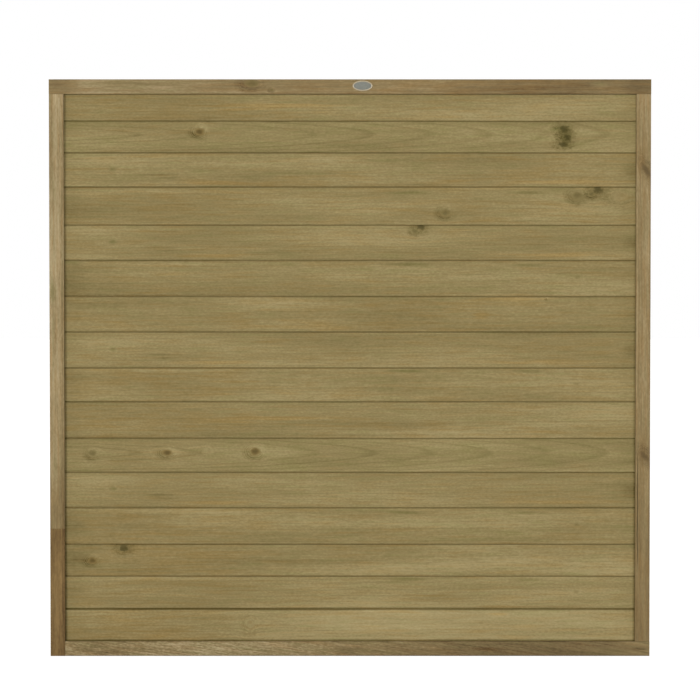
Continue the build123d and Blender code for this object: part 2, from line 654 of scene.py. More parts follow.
    def tone(self, wood: Output, flow: Output, along: Output, rings: Output, fibre: Output) -> Output:
        """Depth of colour before any marks: the year rings, streaks, flecks, fibres and patches.

        Each part counts by how far it lies from its own mean, so the piece keeps its tone. The flecks grow
        or fade along the piece with its figure.

        Args:
            wood: Place in the timber.
            flow: Place in the grain.
            along: Place along the piece.
            rings: Late wood of the year rings.
            fibre: Pattern of the fibres.

        Returns:
            The depth's output.
        """
        tree = self.tree
        finish = self.finish
        look = self.look
        patch = self.pattern(wood, finish.patch.cloud, GrainSeed.PATCH)
        parts = [
            (rings, -finish.ring_depth * look.cut.value[-1], finish.late_mean),
            (patch, finish.patch.depth, CLOUD_MEAN),
            (fibre, finish.fibre.depth, CLOUD_MEAN),
        ]
        for number, layer in enumerate(finish.streaks, start=GrainSeed.STREAKS):
            parts.append((self.pattern(flow, layer.cloud, number), layer.depth, CLOUD_MEAN))
        depth: Any = MID_TONE + look.tone - sum(weight * mean for _, weight, mean in parts)
        for part, weight, _ in parts:
            depth = add(tree, "Math", {0: part, 1: weight, 2: depth}, operation="MULTIPLY_ADD")
        lean = look.lean / self.half_length
        depth = add(tree, "Math", {0: along, 1: lean, 2: depth}, operation="MULTIPLY_ADD")
        figure = add(tree, "MapRange", {
            "Value": along, "From Min": -self.half_length, "From Max": self.half_length,
            "To Min": look.figure[0], "To Max": look.figure[1],
        })
        flecks: Any = -CLOUD_MEAN * sum(layer.depth for layer in finish.flecks)
        for number, layer in enumerate(finish.flecks, start=GrainSeed.FLECKS):
            cloud = self.pattern(flow, layer.cloud, number)
            flecks = add(tree, "Math", {0: cloud, 1: layer.depth, 2: flecks}, operation="MULTIPLY_ADD")
        return add(tree, "Math", {0: flecks, 1: figure, 2: depth}, operation="MULTIPLY_ADD")

    def warmth(self, wood: Output, flow: Output) -> Output:
        """Warmth before any marks: broad patches and the finer tinge along the grain.

        Args:
            wood: Place in the timber.
            flow: Place in the grain.

        Returns:
            The warmth's output.
        """
        hue, tinge = self.finish.hue, self.finish.tinge
        warmth: Any = self.look.warmth + self.finish.warmth_start
        for place, layer, number in ((wood, hue, GrainSeed.HUE), (flow, tinge, GrainSeed.TINGE)):
            cloud = self.pattern(place, layer.cloud, number)
            warmth = add(self.tree, "Math", {0: cloud, 1: layer.depth, 2: warmth}, operation="MULTIPLY_ADD")
        return warmth

    def streak_bands(self, wood: Output) -> list[Output]:
        """How much each of the piece's own streaks shows: 1 on its middle, fading to 0 past its edge.

        Args:
            wood: Place in the timber.

        Returns:
            An output for each streak.
        """
        bands = []
        for streak in self.look.streaks:
            near = add(self.tree, "Mapping", {
                "Vector": wood,
                "Location": (streak.along, 0.0, streak.across),
                "Scale": (streak.length, THROUGH, streak.height),
            }, vector_type="TEXTURE")
            bands.append(add(self.tree, "MapRange", {
                "Value": add(self.tree, "VectorMath", {0: near}, operation="LENGTH"),
                "From Min": 0.0, "From Max": self.finish.streak_fade, "To Min": 1.0, "To Max": 0.0,
            }, interpolation_type="SMOOTHSTEP"))
        return bands

    def stain_round_knots(self, depth: Output, ragged: Output, knots: list[KnotOutputs]) -> Output:
        """Stains the wood in the collar of each knot, flecked and ringed, and paler on one side.

        Args:
            depth: Depth of colour so far.
            ragged: Pattern of the flecks.
            knots: What part_at_knots gave.

        Returns:
            The stained depth's output.
        """
        tree = self.tree
        growth = self.finish.growth
        fleck = self.finish.ragged.depth
        start, peak, end = growth.collar
        for eye, away, slope in knots:
            collar = add(tree, "ValToRGB", {0: away}, stops=((start, BLACK), (end, BLACK), (peak, WHITE)))
            phase = add(tree, "Math", {0: away, 1: growth.ring_turns}, operation="MULTIPLY")
            ringed = add(tree, "Math", {0: growth.ring_side, 1: slope}, operation="SUBTRACT")
            ring = add(tree, "Math", {0: phase}, operation="SINE")
            ring = add(tree, "Math", {0: ring, 1: ringed}, operation="MULTIPLY")
            stain = -eye.stain - CLOUD_MEAN * fleck
            lift = add(tree, "Math", {0: slope, 1: 2 * eye.swirl, 2: stain}, operation="MULTIPLY_ADD")
            lift = add(tree, "Math", {0: ring, 1: eye.rings, 2: lift}, operation="MULTIPLY_ADD")
            lift = add(tree, "Math", {0: ragged, 1: fleck, 2: lift}, operation="MULTIPLY_ADD")
            depth = add(tree, "Math", {0: lift, 1: collar, 2: depth}, operation="MULTIPLY_ADD")
        return depth

    def painted_shade_behind_face(self, wood: Output) -> Output:
        """Painted shade: how much darker the colour is made behind the face, in joints, on arrises and down
        the sides.
        """
        inward = add(self.tree, "SeparateXYZ", {0: wood}).node.outputs["Y"]
        near, far = self.finish.skin
        return add(self.tree, "MapRange", {
            "Value": add(self.tree, "Math", {0: inward}, operation="ABSOLUTE"),
            "From Min": self.half_depth - far, "From Max": self.half_depth - near,
            "To Min": -self.finish.painted_edge_shade, "To Max": 0.0,
        })

    def colour(self, depth: Output, warmth: Output, knots: list[KnotOutputs]) -> Output:
        """Colour of the wood for its depth and warmth, with the knots over it.

        Args:
            depth: Depth of colour.
            warmth: Warmth of colour.
            knots: What part_at_knots gave.

        Returns:
            The colour's output.
        """
        tree = self.tree
        finish = self.finish
        growth = finish.growth
        colour = add(tree, "ValToRGB", {0: depth}, stops=(
            (0.0, finish.deep), (1.0, finish.pale), (MID_TONE, finish.middle),
        ))
        tint = add(tree, "ValToRGB", {0: warmth}, stops=(
            (0.0, finish.green), (1.0, finish.warm), (MID_TONE, WHITE),
        ))
        colour = add(tree, "Mix", {0: 1.0, 6: colour, 7: tint}, data_type="RGBA", blend_type="MULTIPLY")
        for eye, away, _ in knots:
            branch = add(tree, "ValToRGB", {0: away}, stops=tuple(zip(growth.heart, (eye.core, eye.rim))))
            cover = add(tree, "MapRange", {
                "Value": away, "From Min": growth.fade[0], "From Max": growth.fade[1],
                "To Min": eye.cover, "To Max": 0.0,
            }, interpolation_type="SMOOTHSTEP")
            colour = add(tree, "Mix", {0: cover, 6: colour, 7: branch}, data_type="RGBA")
        return colour

    def surface(self, middle: Vector, axis: GrainAxis) -> Output:
        """Puts the timber's surface together.

        Args:
            middle: The piece's middle in millimetres, turned so that its grain runs along the first axis.
            axis: The way its grain runs.

        Returns:
            The shader's output.
        """
        tree = self.tree
        finish = self.finish
        splice = self.look.splice
        wood = self.wood(middle, axis)
        along = add(tree, "SeparateXYZ", {0: wood}).node.outputs["X"]
        ragged = self.pattern(wood, finish.ragged.cloud, GrainSeed.RAGGED)

        # The grain's own flow: past a splice it starts again from a far place, and knots part it
        flow = wood
        past: Any = 0.0
        if splice:
            past = add(tree, "Math", {0: along, 1: splice.along}, operation="LESS_THAN")
            jump = add(tree, "Math", {0: past, 1: finish.splice_jump}, operation="MULTIPLY")
            ahead = add(tree, "CombineXYZ", {0: jump})
            flow = add(tree, "VectorMath", {0: wood, 1: ahead}, operation="ADD")
        flow, knots = self.part_at_knots(wood, flow, ragged)
        if self.look.slope_deg:
            slant = math.radians(self.look.slope_deg)
            flow = add(tree, "Mapping", {"Vector": flow, "Rotation": (0, slant, 0)})

        # Depth and warmth of colour, and then the marks that change them
        rings = self.rings(flow)
        fibre = self.pattern(flow, finish.fibre.cloud, GrainSeed.FIBRE)
        depth = self.tone(wood, flow, along, rings, fibre)
        warmth = self.warmth(wood, flow)
        marks = list(zip(self.streak_bands(wood), self.look.streaks))
        if splice:
            marks.insert(0, (past, splice))
        for shown, mark in marks:
            depth = add(tree, "Math", {0: shown, 1: mark.lift, 2: depth}, operation="MULTIPLY_ADD")
            warmth = add(tree, "Math", {0: shown, 1: mark.warmth, 2: warmth}, operation="MULTIPLY_ADD")
        depth = self.stain_round_knots(depth, ragged, knots)
        # Painted shade darkens the colour in joints, on arrises and down the sides
        depth = add(tree, "Math", {0: depth, 1: self.painted_shade_behind_face(wood)}, operation="ADD")

        relief = add(tree, "Math", {0: fibre, 1: rings}, operation="SUBTRACT")
        return add(tree, "BsdfPrincipled", {
            "Base Color": self.colour(depth, warmth, knots),
            "Roughness": add(tree, "MapRange", {
                "Value": fibre,
                "To Min": finish.roughness - finish.roughness_spread,
                "To Max": finish.roughness + finish.roughness_spread,
            }),
            "Specular IOR Level": finish.gleam,
            "Normal": add(tree, "Bump", {
                "Strength": finish.relief_strength, "Distance": finish.relief * MM, "Height": relief,
            }),
        })


BOARD_PINE = TimberFinish(
    title="pressure_treated_pine_planed",
    pale="#c0b082", middle="#8e7e53", deep="#54481d", green="#f1faea", warm="#fff2dc",
    ring_spacing=8.0, ring_depth=0.18, sway=6.0,
    streaks=(GrainLayer(420, 24, 0.18), GrainLayer(140, 9, 0.12)),
    flecks=(GrainLayer(45, 5, 0.17), GrainLayer(9, 4.3, 0.28)),
    patch=GrainLayer(560, 60, 0.38), hue=GrainLayer(560, 40, 0.4),
    fibre=GrainLayer(70, 1.6, 0.16), painted_edge_shade=0.16,
)
FRAME_REDWOOD = TimberFinish(
    title="pressure_treated_redwood_planed",
    pale="#c5b38d", middle="#8b7852", deep="#4c3b22", green="#f1faf0", warm="#fff0dd",
    ring_spacing=4.5, ring_depth=0.22, sway=5.0,
    streaks=(GrainLayer(420, 16, 0.25), GrainLayer(140, 6, 0.25)),
    flecks=(GrainLayer(45, 4, 0.18), GrainLayer(11, 4, 0.18)),
    patch=GrainLayer(330, 80, 0.25), hue=GrainLayer(330, 40, 0.4),
    fibre=GrainLayer(60, 1.4, 0.16), painted_edge_shade=0.2,
)


class BoardEdge(Enum):
    """How a board's long edge is worked."""

    TONGUE = "tongue"
    GROOVE = "groove"
    HOUSED = "plain edge in the frame's groove"


@dataclass
class Board:
    """One tongue and groove board: its section carried along the panel.

    The front shoulders recede a little and unevenly, as planed edges do. Nothing grows past the CAD's faces.
    Sizes are in millimetres.
    """

    node: str
    upper: BoardEdge
    lower: BoardEdge
    look: TimberLook
    opening: tuple[float, ...] = (0.0,)
    cup: float = 0.3
    tongue_thickness: float = 4.0
    tongue_length: float = 7.0
    groove_width: float = 4.3
    groove_depth: float = 6.0
    bevel: float = 2.0
    arris: float = 0.5
    tongue_chamfer: float = 0.8
    edge_wear: float = 0.4
    wear_steps: tuple[float, float] = (60.0, 45.0)
    cup_step: float = 500.0
    face_points: int = 18
    back_points: int = 12
    bevel_points: int = 3
    arris_points: int = 4
    stations: int = 181
    smooth_deg: float = 40.0

    def section(self, along: np.ndarray, low: Vector, high: Vector) -> np.ndarray:
        """The board's section at each station.

        It goes up the face, over the tongue or plain top edge, down the back and through the groove or
        plain bottom edge. The cup hollows the face or the back, and fades out towards the held ends.

        Args:
            along: Stations in millimetres.
            low: Lowest corner of the CAD board in millimetres.
            high: Its highest corner.

        Returns:
            Stations by points by depth and height in millimetres.
        """
        seed = seed_of(self.node)
        front, back = low.y, high.y
        middle = (front + back) / 2
        top = high.z - (self.tongue_length if self.upper is BoardEdge.TONGUE else 0.0)
        opening = np.interp(along, np.linspace(along[0], along[-1], len(self.opening)), self.opening)
        wear_top = self.edge_wear * wander(along, self.wear_steps[0], seed)
        wear_bottom = self.edge_wear * wander(along, self.wear_steps[1], seed + 1) + opening
        face_top = top - wear_top * (self.upper is BoardEdge.TONGUE)
        face_bottom = low.z + wear_bottom * (self.lower is BoardEdge.GROOVE)
        ends = np.sin(np.pi * (along - along[0]) / np.ptp(along))
        cup = self.cup * (2 * wander(along, self.cup_step, seed + 2) - 1) * ends
        hollow_face, hollow_back = np.maximum(cup, 0.0), np.minimum(cup, 0.0)
        tongue = self.tongue_thickness / 2
        tip = self.tongue_chamfer
        groove = self.groove_width / 2
        shape = Section(len(along))
        bevel_top = self.bevel if self.upper is BoardEdge.TONGUE else self.arris
        bevel_bottom = self.bevel if self.lower is BoardEdge.GROOVE else self.arris
        face_low, face_high = (front, face_bottom + bevel_bottom), (front, face_top - bevel_top)
        shape.line(face_low, face_high, self.face_points, hollow_face)
        shape.line(face_high, (front + bevel_top, face_top), self.bevel_points)
        if self.upper is BoardEdge.TONGUE:
            shape.runs(
                (front + bevel_top, face_top, 2),
                (middle - tongue, face_top, 2),
                (middle - tongue, high.z - tip),
                (middle - tongue + tip, high.z),
                (middle + tongue - tip, high.z),
                (middle + tongue, high.z - tip, 2),
                (middle + tongue, top),
                (back - self.arris, top),
            )
        else:
            shape.line((front + self.arris, top), (back - self.arris, top), 2)
        back_high, back_low = (back, top - self.arris), (back, low.z + self.arris)
        shape.arc((back - self.arris, top - self.arris), self.arris, 90, 0, self.arris_points)
        shape.line(back_high, back_low, self.back_points, hollow_back)
        shape.arc((back - self.arris, low.z + self.arris), self.arris, 0, -90, self.arris_points)
        if self.lower is BoardEdge.GROOVE:
            floor = low.z + self.groove_depth
            shape.runs(
                (back - self.arris, low.z, 2),
                (middle + groove, low.z, 2),
                (middle + groove, floor, 2),
                (middle - groove, floor, 2),
                (middle - groove, face_bottom, 2),
                (front + bevel_bottom, face_bottom),
            )
        else:
            shape.line((back - self.arris, low.z), (front + self.arris, low.z), 2)
        shape.line((front + bevel_bottom, face_bottom), face_low, self.bevel_points)
        return shape.points()

    def build(self) -> bpy.types.Object:
        """Builds the board in its CAD place and dresses it."""
        low, high = (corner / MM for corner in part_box(self.node))
        along = np.linspace(low.x, high.x, self.stations)
        section = self.section(along, low, high)
        lengthwise = np.broadcast_to(along[:, None, None], (*section.shape[:2], 1))
        points = np.concatenate([lengthwise, section], axis=-1)
        faces = tube_faces(*section.shape[:2])
        piece = place_mesh(f"{self.node}_planed", points.reshape(-1, 3) * MM, faces, self.smooth_deg)
        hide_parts(self.node)
        BOARD_PINE.dress(piece, self.look, GrainAxis.ALONG_X)
        return piece


PALE_CORNERED = (
    Streak(-762, 25, 200, 20, 0.10),
    Streak(-723, 0, 14, 7, -0.16, -0.5),
    Streak(-580, -18, 60, 5, -0.16),
    Streak(-560, -28, 45, 4, -0.14),
    Streak(-412, -42, 150, 7, 0.08, 0.6),
    Streak(625, -40, 230, 7, 0.10, 0.5),
    Streak(860, -5, 35, 25, -0.14),
    Streak(600, 0, 300, 200, -0.035),
)
PALE_TOPPED = (
    Streak(-573, 42, 270, 8, 0.12),
    Streak(-850, 0, 60, 50, -0.08),
    Streak(174, 38, 75, 6, -0.16, -0.5),
    Streak(540, 38, 60, 6, -0.16, -0.4),
    Streak(300, 0, 450, 13, 0.06),
    Streak(692, 0, 10, 6, -0.16),
    Streak(-560, 0, 300, 200, -0.03, 0.1),
)
HONEY_STREAKED = (
    Streak(-220, 2, 240, 7, 0.10, 0.7),
    Streak(-330, -9, 120, 4, 0.08, 0.5),
    Streak(0, -50, 900, 9, -0.08),
    Streak(-600, 0, 300, 200, 0.0, 0.15),
)


@dataclass(frozen=True)
class PaintedEndShade:
    """Painted shade at one end of the boards, by the stile: a dark line and a soft band. In millimetres."""

    along: float
    line_width: float
    line_growth: float
    shade: float
    shade_width: float = 60.0

    def streaks(self, number: int) -> tuple[Streak, Streak]:
        """Painted line, growing with the board's number from the top, and the painted soft shade."""
        return (
            Streak(self.along, 0, self.line_width, THROUGH, self.line_growth * number),
            Streak(self.along, 0, self.shade_width, THROUGH, self.shade),
        )


@dataclass
class BoardStack:
    """The boards between the rails, from the top down, each with its own cut and marks."""

    looks: tuple[TimberLook, ...] = (
        TimberLook(LogCut.RIFT_SAWN, -0.01, 0.05, streaks=(
            *HONEY_STREAKED, Streak(600, 0, 300, 200, 0.03),
        )),
        TimberLook(LogCut.FLAT_SAWN, -0.02, 0.0, -0.15, knots=(
            Knot(-458, 13, 9.5, KnotKind.SOUND, 1.3),
            Knot(652, 20, 12, KnotKind.DEAD, 1.25),
            Knot(661, -4, 11, KnotKind.DEAD, 1.2),
            Knot(650, -25, 8, KnotKind.DEAD, 1.8),
        ), streaks=(
            Streak(657, -2, 20, 36, -0.22, -0.3),
            Streak(636, 22, 26, 9, -0.16, -0.5),
            Streak(-600, 0, 300, 200, -0.015, 0.12),
            Streak(700, 0, 250, 200, -0.03),
        )),
        TimberLook(LogCut.RIFT_SAWN, 0.0, -0.02, streaks=PALE_CORNERED),
        TimberLook(LogCut.RIFT_SAWN, -0.015, 0.04, streaks=(
            *PALE_TOPPED, Streak(-560, 0, 300, 200, -0.03), Streak(692, 29, 36, 18, -0.08),
        ), knots=(
            Knot(290, -22, 10, KnotKind.FAINT),
            Knot(692, 29, 12, KnotKind.FAINT),
            Knot(753, 47, 12, KnotKind.DEAD),
            Knot(735, 34, 7, KnotKind.FAINT),
            Knot(823, 26, 14, KnotKind.BLIND, 1.6),
        )),
        TimberLook(LogCut.RIFT_SAWN, 0.0, -0.02, streaks=PALE_CORNERED, knots=(
            Knot(216, 46, 10, KnotKind.DEAD),
            Knot(197, 32, 7, KnotKind.FAINT),
        )),
        TimberLook(LogCut.RIFT_SAWN, -0.04, 0.02, streaks=PALE_TOPPED),
        TimberLook(LogCut.RIFT_SAWN, -0.02, 0.0, 0.05, knots=(
            Knot(598, 44, 2.0, KnotKind.SOUND),
        ), streaks=(
            Streak(500, 44, 120, 6, 0.12, 0.7),
            Streak(400, -8, 30, 14, 0.0, 0.6),
            Streak(50, 0, 250, 200, -0.06),
        )),
        TimberLook(LogCut.RIFT_SAWN, 0.0, -0.02, streaks=(
            *PALE_CORNERED, Streak(-600, 0, 250, 200, -0.035), Streak(600, 0, 300, 200, -0.05),
        )),
        TimberLook(LogCut.RIFT_SAWN, 0.0, 0.02, streaks=(
            *PALE_TOPPED, Streak(500, 0, 250, 200, -0.04),
        )),
        TimberLook(LogCut.RIFT_SAWN, 0.0, 0.05, streaks=HONEY_STREAKED),
        TimberLook(LogCut.FLAT_SAWN, -0.01, 0.0, -0.15, knots=(
            Knot(-787, 4, 9, KnotKind.FAINT),
            Knot(-558, 5, 8.5, KnotKind.SOUND, 1.6),
            Knot(-442, 12, 7, KnotKind.BLIND),
            Knot(-290, 8, 11, KnotKind.SOUND),
        ), streaks=(
            Streak(-600, 0, 300, 200, -0.015, 0.12),
        )),
        TimberLook(LogCut.RIFT_SAWN, -0.01, -0.02, streaks=(
            *PALE_CORNERED, Streak(600, 0, 300, 200, -0.03),
        )),
        TimberLook(LogCut.RIFT_SAWN, -0.01, 0.02, streaks=PALE_TOPPED),
        TimberLook(LogCut.RIFT_SAWN, -0.01, 0.09, knots=(
            Knot(-692, 34, 10, KnotKind.DEAD, 1.5),
            Knot(-787, -4, 8.5, KnotKind.SOUND, 1.4),
        ), streaks=(
            Streak(-160, 5, 180, 8, 0.10),
            Streak(-820, 4, 80, 30, -0.16),
            Streak(-600, 0, 250, 200, -0.03, 0.2),
        )),
        TimberLook(LogCut.RIFT_SAWN, 0.02, 0.02, streaks=(
            # The last streak is painted shade along the lower edge, in the wide joint to the board below
            *PALE_TOPPED, Streak(0, 0, 350, 200, 0.06), Streak(0, -53, END_TO_END, 5, -0.2),
        )),
        TimberLook(LogCut.RIFT_SAWN, 0.06, 0.05, 0.0, knots=(
            Knot(-305, 6, 15, KnotKind.BLIND, 0.8),
        ), streaks=(
            Streak(457, 36, 40, 6, 0.10, 0.7),
            Streak(-600, 0, 300, 200, 0.0, 0.2),
            Streak(150, 0, 500, 200, 0.13),
            # Painted shade over the tongue in the wide joint above, and a painted shadow line along the
            # bottom by the rail
            Streak(0, 53, END_TO_END, 6, -0.35),
            Streak(0, -47, END_TO_END, 7, -0.6),
        )),
    )
    opening: tuple[float, ...] = (0.5, 0.3, 0.0)
    wide_openings: Mapping[int, tuple[float, ...]] = field(default_factory=lambda: {
        1: (1.2, 0.2, 0.0), 6: (0.8, 0.3, 0.0), 8: (1.0, 0.6, 0.0), 10: (1.6, 0.1, 0.0),
        12: (1.0, 0.3, 0.0), 13: (0.6, 0.0, 0.0), 14: (1.0, 0.3, 0.0), 15: (2.2, 2.6, 1.8),
    })
    # Painted shade down the boards' ends, where they meet the stiles
    left_end: PaintedEndShade = PaintedEndShade(-869.0, 5.0, -0.015, -0.035)
    right_end: PaintedEndShade = PaintedEndShade(869.0, 6.0, -0.02, -0.04)

    def build(self) -> list[bpy.types.Object]:
        """Builds every board, with painted shade down each end: a dark line that grows towards the floor.

        Returns:
            The boards from the top down.
        """
        last = len(self.looks)
        pieces = []
        for number, look in enumerate(self.looks, start=1):
            upper = BoardEdge.HOUSED if number == 1 else BoardEdge.TONGUE
            lower = BoardEdge.HOUSED if number == last else BoardEdge.GROOVE
            opening = self.wide_openings.get(number, self.opening)
            painted_end_shade = self.right_end.streaks(number) + self.left_end.streaks(number)
            look = replace(look, streaks=look.streaks + painted_end_shade)
            pieces.append(Board(f"board_{number:02d}", upper, lower, look, opening).build())
        return pieces


class MemberPlace(Enum):
    """Where a frame member stands: its grain's axis, and on which side of the panel its outer edge lies."""

    TOP = (GrainAxis.ALONG_X, 1)
    BOTTOM = (GrainAxis.ALONG_X, -1)
    LEFT = (GrainAxis.ALONG_Z, -1)
    RIGHT = (GrainAxis.ALONG_Z, 1)


@dataclass(frozen=True)
class Shake:
    """A drying crack in a frame member's face, in millimetres from the panel's origin and outer edge.

    A depth of 0 leaves the face whole.
    """

    start: float = 0.0
    end: float = 1.0
    from_edge: float = 22.5
    width: float = 1.0
    depth: float = 0.0
    sway: float = 1.6
    sway_step: float = 30.0
    seed: int = 9


@dataclass
class FrameMember:
    """A rail or stile: a grooved section with worn arrises, carried along its length to stub tenons.

    Sizes are in millimetres.
    """

    node: str
    place: MemberPlace
    look: TimberLook
    tenon_at_start: bool = False
    tenon_at_end: bool = False
    shake: Shake = Shake()
    face: float = 45.0
    arris: float = 2.0
    arris_wear: float = 0.9
    wear_step: float = 55.0
    groove_width: float = 12.6
    groove_depth: float = 12.0
    tenon_thickness: float = 12.2
    tenon_length: float = 11.5
    face_points: tuple[int, int] = (9, 5)
    back_points: int = 10
    arris_points: int = 6
    stations: int = 161
    smooth_deg: float = 35.0

    def shake_depth(self, along: np.ndarray) -> np.ndarray:
        """Depth of the crack at each station: none outside it, rising to its full depth in its middle.

        Args:
            along: Stations in millimetres.

        Returns:
            The depth in millimetres.
        """
        share = np.clip((along - self.shake.start) / (self.shake.end - self.shake.start), 0, 1)
        return self.shake.depth * np.sqrt(np.sin(np.pi * share))

    def section(self, along: np.ndarray, front: float, back: float) -> np.ndarray:
        """The member's section at each station, from its outer edge at 0 to its grooved edge.

        It goes in across the face, through the groove and out across the back. Each arris is an arc whose
        radius wanders with wear. A crack is one point of the face that sinks in between two that stay.

        Args:
            along: Stations in millimetres.
            front: Depth of the face.
            back: Depth of the back.

        Returns:
            Stations by points by depth and distance from the outer edge.
        """
        seed = seed_of(self.node)
        outer, inner, inner_back, outer_back = (
            self.arris + self.arris_wear * wander(along, self.wear_step, seed + turn) for turn in range(4)
        )
        half_groove = self.groove_width / 2
        half_tenon = self.tenon_thickness / 2
        floor = self.face - self.groove_depth
        half_crack = self.shake.width / 2
        sway = wander(along, self.shake.sway_step, seed + self.shake.seed) - 0.5
        line = self.shake.from_edge + self.shake.sway * sway
        depth = self.shake_depth(along)
        shape = Section(len(along))
        shape.runs(
            (front, outer, self.face_points[0]),
            (front, line - half_crack),
            (front + depth, line),
            (front, line + half_crack, self.face_points[1]),
            (front, self.face - inner),
        )
        shape.arc((front + inner, self.face - inner), inner, 180, 90, self.arris_points)
        shape.runs(
            (front + inner, self.face, 2),
            (-half_groove, self.face, 2),
            (-half_groove, floor, 2),
            (half_groove, floor, 2),
            (half_groove, self.face, 2),
            (back - inner_back, self.face),
        )
        shape.arc((back - inner_back, self.face - inner_back), inner_back, 90, 0, self.arris_points)
        shape.runs((back, self.face - inner_back, self.back_points), (back, outer_back))
        shape.arc((back - outer_back, outer_back), outer_back, 0, -90, self.arris_points)
        shape.runs(
            (back - outer_back, 0.0),
            (half_tenon, 0.0, 3),
            (-half_tenon, 0.0),
            (front + outer, 0.0),
        )
        shape.arc((front + outer, outer), outer, 270, 180, self.arris_points)
        return shape.points()

    def tenon(self, shoulder: np.ndarray) -> np.ndarray:
        """The tenon's section: the shoulder's points drawn in to the tenon's thickness and width."""
        half = self.tenon_thickness / 2
        width = self.face - self.groove_depth
        depth = np.clip(shoulder[..., 0], -half, half)
        return np.stack([depth, np.minimum(shoulder[..., 1], width)], axis=-1)

    def build(self) -> bpy.types.Object:
        """Builds the member in its CAD place and dresses it."""
        low, high = (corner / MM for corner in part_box(self.node))
        axis, side = self.place.value
        upright = axis is GrainAxis.ALONG_Z
        start, end = (low.z, high.z) if upright else (low.x, high.x)
        shoulder_start = start + self.tenon_length * self.tenon_at_start
        shoulder_end = end - self.tenon_length * self.tenon_at_end
        along = np.linspace(shoulder_start, shoulder_end, self.stations)
        section = self.section(along, low.y, high.y)
        if self.tenon_at_start:
            tenon = self.tenon(section[:1])
            along = np.concatenate([[start, shoulder_start], along])
            section = np.concatenate([tenon, tenon, section])
        if self.tenon_at_end:
            tenon = self.tenon(section[-1:])
            along = np.concatenate([along, [shoulder_end, end]])
            section = np.concatenate([section, tenon, tenon])
        edge = (high.x if side > 0 else low.x) if upright else (high.z if side > 0 else low.z)
        across = edge - side * section[..., 1]
        lengthwise = np.broadcast_to(along[:, None], across.shape)
        first, last = (across, lengthwise) if upright else (lengthwise, across)
        points = np.stack([first, section[..., 0], last], axis=-1)
        faces = tube_faces(*across.shape)
        piece = place_mesh(f"{self.node}_planed", points.reshape(-1, 3) * MM, faces, self.smooth_deg)
        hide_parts(self.node)
        FRAME_REDWOOD.dress(piece, self.look, axis)
        return piece


@dataclass
class PanelFrame:
    """The two rails and two stiles that hold the boards, each with its own cut and marks."""

    top: TimberLook = TimberLook(LogCut.RIFT_SAWN, -0.03, -0.12, 0.08, knots=(
        Knot(-298, 10, 11, KnotKind.FAINT, 1.8),
        Knot(-238, -10, 4, KnotKind.FAINT),
    ), streaks=(
        Streak(-890, 0, 80, 60, -0.22),
        Streak(-620, 0, 250, 60, -0.06, -0.25),
        Streak(560, 0, 250, 60, -0.055, 0.15),
        Streak(880, 0, 60, 60, -0.14),
        Streak(760, 5, 40, 12, 0.15, -0.4),
    ), figure=(1.3, 1.3))
    bottom: TimberLook = TimberLook(LogCut.RIFT_SAWN, 0.02, -0.05, -0.1, streaks=(
        Streak(-780, 0, 130, 60, -0.14),
        Streak(-400, 0, 230, 60, 0.06),
        Streak(-20, -6, 50, 12, -0.20),
        Streak(480, 0, 520, 90, -0.26),
        Streak(206, 4, 60, 6, 0.12),
        Streak(400, 0, 75, 7, -0.10, 0.6),
        Streak(870, 0, 30, 6, -0.25),
        # Painted shade along the bottom arris
        Streak(0, -22, END_TO_END, 3, -0.15),
    ), figure=(4.2, 1.5), slope_deg=-8.0)
    left: TimberLook = TimberLook(LogCut.QUARTER_SAWN, 0.06, 0.06, 0.0, streaks=(
        Streak(250, 10, 45, 10, -0.10, -0.6),
        Streak(730, 0, 150, 60, -0.07),
        Streak(365, 0, 160, 60, 0.10),
        Streak(0, 0, 180, 60, 0.09),
        Streak(-250, 0, 160, 60, -0.02),
        Streak(-420, 0, 160, 60, -0.16),
        Streak(-860, 0, 200, 60, -0.08),
        # Painted shade along the inner and the outer arris
        Streak(0, -18, END_TO_END, 6, -0.12),
        Streak(0, 21, END_TO_END, 5, -0.08),
    ), splice=Splice(-472.0, -0.12, 0.65), figure=(1.6, 1.6))
    right: TimberLook = TimberLook(LogCut.QUARTER_SAWN, -0.03, 0.07, 0.08, knots=(
        Knot(602, -9, 9.5, KnotKind.SPIKE, 3.0, -30.0),
        Knot(-267, -6, 10.5, KnotKind.SPIKE, 2.0, -39.0),
    ), streaks=(
        Streak(345, -8, 150, 12, 0.09),
        Streak(-50, 0, 250, 60, 0.02),
        Streak(720, 0, 120, 60, -0.06),
        # Painted highlight along the inner arris, which faces the light from the left
        Streak(250, 18, 700, 3, 0.10),
        Streak(-700, 0, 250, 60, -0.035),
    ), figure=(1.3, 1.3))
    crack: Shake = Shake(270.0, 620.0, 38.0, 2.2, 4.0)

    def build(self) -> list[bpy.types.Object]:
        """Builds the four members.

        Returns:
            Top rail, bottom rail, left stile and right stile.
        """
        members = (
            FrameMember("top_rail", MemberPlace.TOP, self.top),
            FrameMember("bottom_rail", MemberPlace.BOTTOM, self.bottom, tenon_at_start=True),
            FrameMember("left_stile", MemberPlace.LEFT, self.left, tenon_at_end=True),
            FrameMember(
                "right_stile", MemberPlace.RIGHT, self.right, tenon_at_start=True, tenon_at_end=True,
                shake=self.crack,
            ),
        )
        return [member.build() for member in members]


